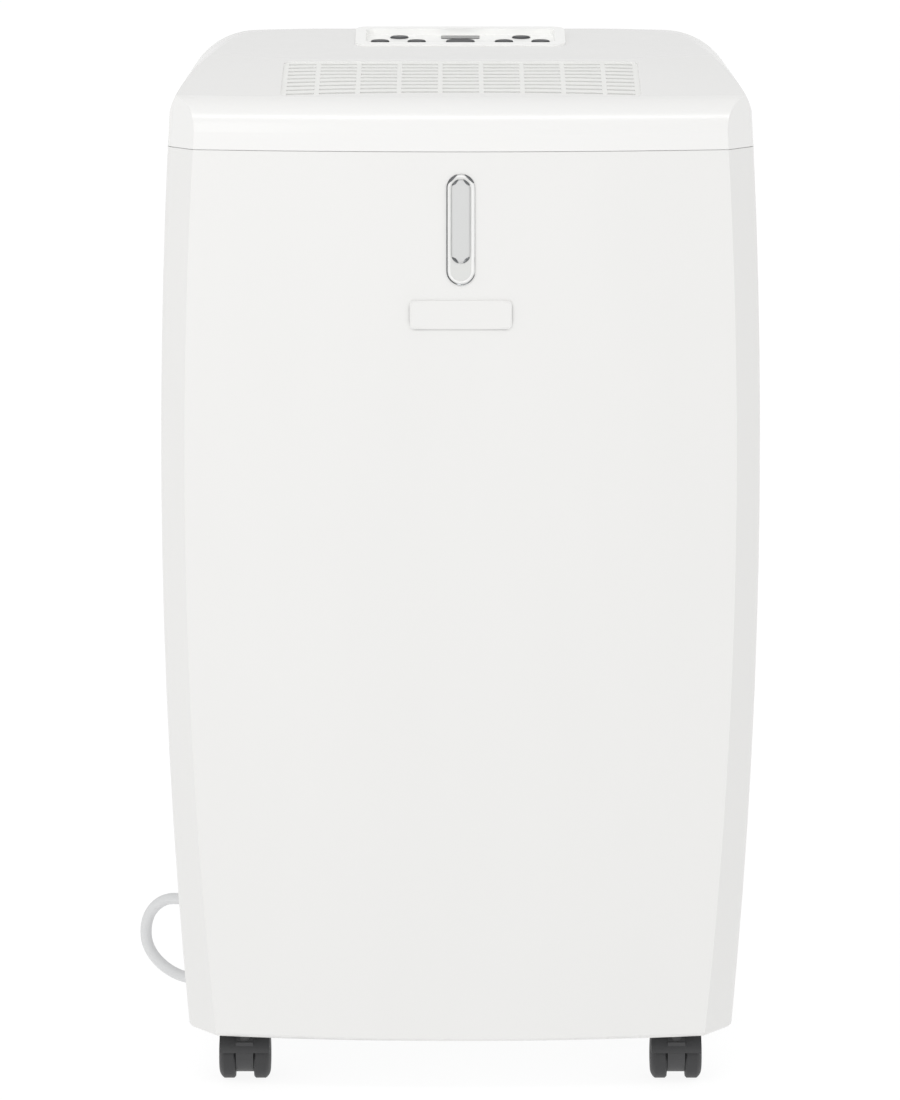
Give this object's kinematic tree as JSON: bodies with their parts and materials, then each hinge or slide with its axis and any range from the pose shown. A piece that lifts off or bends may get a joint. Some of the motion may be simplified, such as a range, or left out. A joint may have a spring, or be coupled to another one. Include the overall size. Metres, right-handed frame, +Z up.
{
  "type": "dehumidifier",
  "caption": "Upright white portable dehumidifier: barrel casing on casters, top outlet grille, sloped control pod, front indicator light, slide-out water tank and a coiled mains lead.",
  "frame": {"origin": "on the floor the wheels stand on, under the middle of the casing's width and depth", "axes": "+Z up, +Y towards the rear wall with the filter and tank, -Y the front with the indicator, +X to the right seen from the front"},
  "size_m": [0.3674, 0.3477, 0.5951],
  "materials": {
    "casing_plastic": "smooth white moulding, soft gloss",
    "inner_plastic": "plain grey inner moulding",
    "tank_plastic": "translucent grey-white moulding",
    "button_plastic": "fine-grained dark grey caps",
    "window_plastic": "smooth dark window",
    "lens_plastic": "pale grey diffusing lens",
    "chrome_trim": "bright plated plastic rim",
    "circuit_board": "coated board",
    "caster_plastic": "moulded dark nylon",
    "caster_tread": "moulded dark wheels",
    "steel_pin": "drawn steel",
    "screw_steel": "zinc-plated screw heads",
    "fin_aluminium": "thin folded fins",
    "copper_pipe": "bent copper tube",
    "compressor_paint": "black enamelled steel shell",
    "motor_steel": "plated steel can",
    "rubber_parts": "moulded rubber",
    "filter_fabric": "fine woven nylon net",
    "lead_sheath": "light grey flexible sheath",
    "tie_plastic": "coated wire tie"
  },
  "bodies": {
    "casing": {"badge_plate": "casing_plastic", "base_pan": "inner_plastic", "casing_screws": "screw_steel", "caster_sockets": "caster_plastic", "compressor": "compressor_paint", "compressor_mounts": "rubber_parts", "condenser": "fin_aluminium", "control_board": "circuit_board", "control_panel": "casing_plastic", "display_window": "window_plastic", "drip_tray": "inner_plastic", "electrics_box": "inner_plastic", "evaporator": "fin_aluminium", "fan_motor": "motor_steel", "fan_scroll": "inner_plastic", "front_cover": "casing_plastic", "handle_cup_left": "casing_plastic", "handle_cup_right": "casing_plastic", "humidity_sensor": "circuit_board", "indicator_bezel": "chrome_trim", "indicator_board": "circuit_board", "indicator_lens": "lens_plastic", "lead_coil": "lead_sheath", "lead_tie": "tie_plastic", "main_board": "circuit_board", "mains_lead": "lead_sheath", "outlet_grille": "casing_plastic", "plug": "lead_sheath", "rear_cover": "casing_plastic", "refrigerant_pipes": "copper_pipe", "strain_relief": "lead_sheath", "tank_bay": "inner_plastic", "tank_switch": "inner_plastic", "top_cover": "casing_plastic"},
    "caster_front_left": {"caster_fork_front_left": "caster_plastic", "caster_pin_front_left": "steel_pin"},
    "wheels_front_left": {"caster_wheels_front_left": "caster_tread"},
    "caster_front_right": {"caster_fork_front_right": "caster_plastic", "caster_pin_front_right": "steel_pin"},
    "wheels_front_right": {"caster_wheels_front_right": "caster_tread"},
    "caster_rear_left": {"caster_fork_rear_left": "caster_plastic", "caster_pin_rear_left": "steel_pin"},
    "wheels_rear_left": {"caster_wheels_rear_left": "caster_tread"},
    "caster_rear_right": {"caster_fork_rear_right": "caster_plastic", "caster_pin_rear_right": "steel_pin"},
    "wheels_rear_right": {"caster_wheels_rear_right": "caster_tread"},
    "tank": {"tank": "tank_plastic", "tank_lid": "inner_plastic"},
    "float": {"tank_float": "inner_plastic"},
    "filter": {"filter_frame": "casing_plastic", "filter_mesh": "filter_fabric"},
    "fan": {"fan_wheel": "inner_plastic"},
    "timer_button_body": {"timer_button": "button_plastic"},
    "fan_speed_button_body": {"fan_speed_button": "button_plastic"},
    "humidity_down_button_body": {"humidity_down_button": "button_plastic"},
    "humidity_up_button_body": {"humidity_up_button": "button_plastic"},
    "laundry_button_body": {"laundry_button": "button_plastic"},
    "auto_button_body": {"auto_button": "button_plastic"},
    "power_button_body": {"power_button": "button_plastic"},
    "drain_cap": {"drain_cap": "rubber_parts"}
  },
  "joints": [
    {"name": "caster_swivel_front_left", "type": "hinge", "parent": "casing", "child": "caster_front_left", "pos_m": [-0.124, -0.084, 0.04], "axis": [0, 0, 1], "continuous": true},
    {"name": "caster_roll_front_left", "type": "hinge", "parent": "caster_front_left", "child": "wheels_front_left", "pos_m": [-0.124, -0.075, 0.014], "axis": [1, 0, 0], "continuous": true},
    {"name": "caster_swivel_front_right", "type": "hinge", "parent": "casing", "child": "caster_front_right", "pos_m": [0.124, -0.084, 0.04], "axis": [0, 0, 1], "continuous": true},
    {"name": "caster_roll_front_right", "type": "hinge", "parent": "caster_front_right", "child": "wheels_front_right", "pos_m": [0.124, -0.075, 0.014], "axis": [1, 0, 0], "continuous": true},
    {"name": "caster_swivel_rear_left", "type": "hinge", "parent": "casing", "child": "caster_rear_left", "pos_m": [-0.124, 0.082, 0.04], "axis": [0, 0, 1], "continuous": true},
    {"name": "caster_roll_rear_left", "type": "hinge", "parent": "caster_rear_left", "child": "wheels_rear_left", "pos_m": [-0.124, 0.091, 0.014], "axis": [1, 0, 0], "continuous": true},
    {"name": "caster_swivel_rear_right", "type": "hinge", "parent": "casing", "child": "caster_rear_right", "pos_m": [0.124, 0.082, 0.04], "axis": [0, 0, 1], "continuous": true},
    {"name": "caster_roll_rear_right", "type": "hinge", "parent": "caster_rear_right", "child": "wheels_rear_right", "pos_m": [0.124, 0.091, 0.014], "axis": [1, 0, 0], "continuous": true},
    {"name": "tank_slide", "type": "slide", "parent": "casing", "child": "tank", "axis": [0, 1, 0], "range_m": [0, 0.16]},
    {"name": "float_swing", "type": "hinge", "parent": "tank", "child": "float", "pos_m": [-0.09, 0.024, 0.226], "axis": [1, 0, 0], "range_deg": [0, 12]},
    {"name": "filter_slide", "type": "slide", "parent": "casing", "child": "filter", "axis": [0, 1, 0], "range_m": [0, 0.04]},
    {"name": "fan_spin", "type": "hinge", "parent": "casing", "child": "fan", "pos_m": [0, -0.06, 0.39], "axis": [0, 1, 0], "continuous": true},
    {"name": "timer_button_press", "type": "slide", "parent": "casing", "child": "timer_button_body", "axis": [0, 0.0802, -0.9968], "range_m": [0, 0.0012], "stiffness_N_per_m": 400},
    {"name": "fan_speed_button_press", "type": "slide", "parent": "casing", "child": "fan_speed_button_body", "axis": [0, 0.0802, -0.9968], "range_m": [0, 0.0012], "stiffness_N_per_m": 400},
    {"name": "humidity_down_button_press", "type": "slide", "parent": "casing", "child": "humidity_down_button_body", "axis": [0, 0.0802, -0.9968], "range_m": [0, 0.0012], "stiffness_N_per_m": 400},
    {"name": "humidity_up_button_press", "type": "slide", "parent": "casing", "child": "humidity_up_button_body", "axis": [0, 0.0802, -0.9968], "range_m": [0, 0.0012], "stiffness_N_per_m": 400},
    {"name": "laundry_button_press", "type": "slide", "parent": "casing", "child": "laundry_button_body", "axis": [0, 0.0802, -0.9968], "range_m": [0, 0.0012], "stiffness_N_per_m": 400},
    {"name": "auto_button_press", "type": "slide", "parent": "casing", "child": "auto_button_body", "axis": [0, 0.0802, -0.9968], "range_m": [0, 0.0012], "stiffness_N_per_m": 400},
    {"name": "power_button_press", "type": "slide", "parent": "casing", "child": "power_button_body", "axis": [0, 0.0802, -0.9968], "range_m": [0, 0.0012], "stiffness_N_per_m": 400},
    {"name": "drain_cap_pull", "type": "slide", "parent": "casing", "child": "drain_cap", "axis": [0, 1, 0], "range_m": [0, 0.02]}
  ]
}
